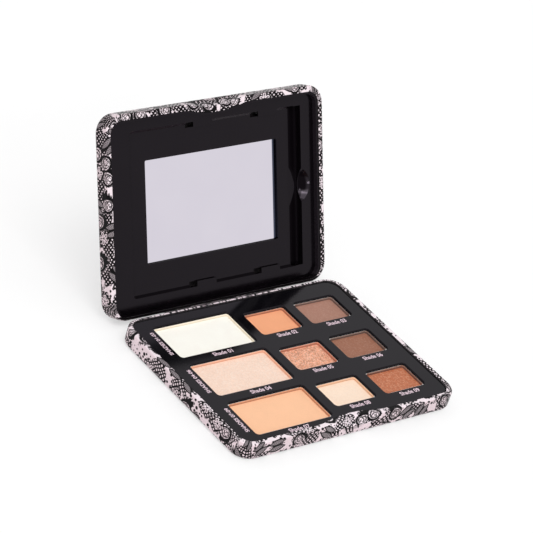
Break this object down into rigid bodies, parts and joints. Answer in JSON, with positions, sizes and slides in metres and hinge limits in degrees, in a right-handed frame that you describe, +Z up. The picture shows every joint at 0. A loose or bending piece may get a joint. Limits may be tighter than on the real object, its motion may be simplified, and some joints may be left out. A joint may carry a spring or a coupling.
{
  "type": "eyeshadow palette",
  "caption": "Hinged tin eyeshadow palette with a lace print, pressed powder pans in a black tray, and a lid with a mirror and an applicator groove.",
  "frame": {"origin": "centre of the base tin's flat underside", "axes": "+X along the hinge to the right, +Y from the front to the hinge at the back, +Z up"},
  "size_m": [0.119, 0.1365, 0.0811],
  "materials": {
    "printed_tin": "satin lacquer over an all-over black lace print on pale pink",
    "black_tray": "semi-gloss moulded black",
    "black_liner": "satin moulded black",
    "pan_metal": "bright pressed metal",
    "hinge_metal": "tinned steel",
    "glue": "cured hot-melt glue",
    "tape": "foam tape",
    "mirror": "silvered glass",
    "powder_cream": "pressed powder",
    "powder_pale_pink": "pressed powder",
    "powder_peach": "pressed powder",
    "powder_apricot": "pressed powder",
    "powder_taupe": "pressed powder",
    "powder_rose_copper": "pressed powder",
    "powder_brown": "pressed powder",
    "powder_champagne": "pressed powder",
    "powder_rust": "pressed powder"
  },
  "bodies": {
    "base": {"base_tin": "printed_tin", "pan_tray": "black_tray", "pan_glue_pads": "glue", "base_hinge_leaf": "hinge_metal", "hinge_pin": "hinge_metal", "powder_large_1": "powder_cream", "powder_large_2": "powder_pale_pink", "powder_large_3": "powder_peach", "powder_small_1": "powder_apricot", "powder_small_2": "powder_taupe", "powder_small_3": "powder_rose_copper", "powder_small_4": "powder_brown", "powder_small_5": "powder_champagne", "powder_small_6": "powder_rust", "pan_large_1": "pan_metal", "pan_large_2": "pan_metal", "pan_large_3": "pan_metal", "pan_small_1": "pan_metal", "pan_small_2": "pan_metal", "pan_small_3": "pan_metal", "pan_small_4": "pan_metal", "pan_small_5": "pan_metal", "pan_small_6": "pan_metal"},
    "lid": {"lid_tin": "printed_tin", "lid_liner": "black_liner", "mirror_glass": "mirror", "mirror_tape": "tape", "lid_hinge_leaf": "hinge_metal"}
  },
  "joints": [
    {"name": "lid_hinge", "type": "hinge", "parent": "base", "child": "lid", "pos_m": [0, 0.04427, 0.0043], "axis": [1, 0, 0], "range_deg": [0, 116.2]}
  ]
}
